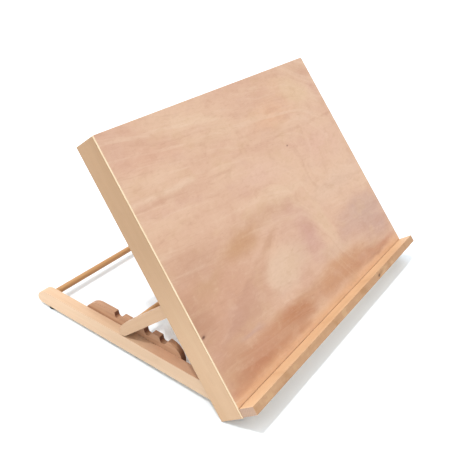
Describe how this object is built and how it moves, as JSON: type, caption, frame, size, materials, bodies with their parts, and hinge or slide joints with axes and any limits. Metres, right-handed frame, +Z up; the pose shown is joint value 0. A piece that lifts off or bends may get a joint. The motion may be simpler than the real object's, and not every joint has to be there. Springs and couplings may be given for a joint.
{
  "type": "table easel",
  "caption": "Table-top wooden artist easel: framed drawing board with a ledge, tilting on a folding base with a notched-rack prop.",
  "frame": {"origin": "middle of the footprint, on the table under the easel", "axes": "+X to the right of a person facing the board, +Y to the rear, +Z up"},
  "size_m": [0.5, 0.3892, 0.31],
  "materials": {
    "panel_ply": "satin",
    "frame_wood": "satin",
    "ledge_wood": "satin",
    "rail_wood": "satin",
    "rack_wood": "satin",
    "dowel_wood": "satin",
    "steel": "satin",
    "rubber": "matte"
  },
  "bodies": {
    "base": {"base_rail_left": "rail_wood", "base_rail_right": "rail_wood", "foot_screw_left": "steel", "foot_screw_right": "steel", "notched_rack_left": "rack_wood", "notched_rack_right": "rack_wood", "rack_screw_left_1": "steel", "rack_screw_left_2": "steel", "rack_screw_left_3": "steel", "rack_screw_right_1": "steel", "rack_screw_right_2": "steel", "rack_screw_right_3": "steel", "rear_dowel": "dowel_wood", "rubber_foot_left": "rubber", "rubber_foot_right": "rubber"},
    "board": {"base_head_washer_left": "steel", "base_head_washer_right": "steel", "base_pivot_screw_left": "steel", "base_pivot_screw_right": "steel", "base_spacer_washer_left": "steel", "base_spacer_washer_right": "steel", "drawing_panel": "panel_ply", "frame_bottom_rail": "frame_wood", "frame_side_rail_left": "frame_wood", "frame_side_rail_right": "frame_wood", "frame_top_rail": "frame_wood", "ledge": "ledge_wood", "ledge_screw_1": "steel", "ledge_screw_2": "steel", "ledge_screw_3": "steel", "ledge_screw_4": "steel", "ledge_screw_5": "steel", "prop_head_washer_left": "steel", "prop_head_washer_right": "steel", "prop_pivot_screw_left": "steel", "prop_pivot_screw_right": "steel", "prop_spacer_washer_left": "steel", "prop_spacer_washer_right": "steel"},
    "prop": {"prop_cross_dowel": "dowel_wood", "prop_leg_left": "rail_wood", "prop_leg_right": "rail_wood"}
  },
  "joints": [
    {"name": "board_tilt", "type": "hinge", "parent": "base", "child": "board", "pos_m": [0, -0.14239, 0.01847], "axis": [1, 0, 0], "range_deg": [0, 80]},
    {"name": "prop_swing", "type": "hinge", "parent": "board", "child": "prop", "pos_m": [0, -0.07442, 0.12899], "axis": [1, 0, 0], "range_deg": [0, 92.6]}
  ],
  "couplings": [
    {"joint": "prop_swing", "follows": "board_tilt", "ratio": 1.156}
  ]
}
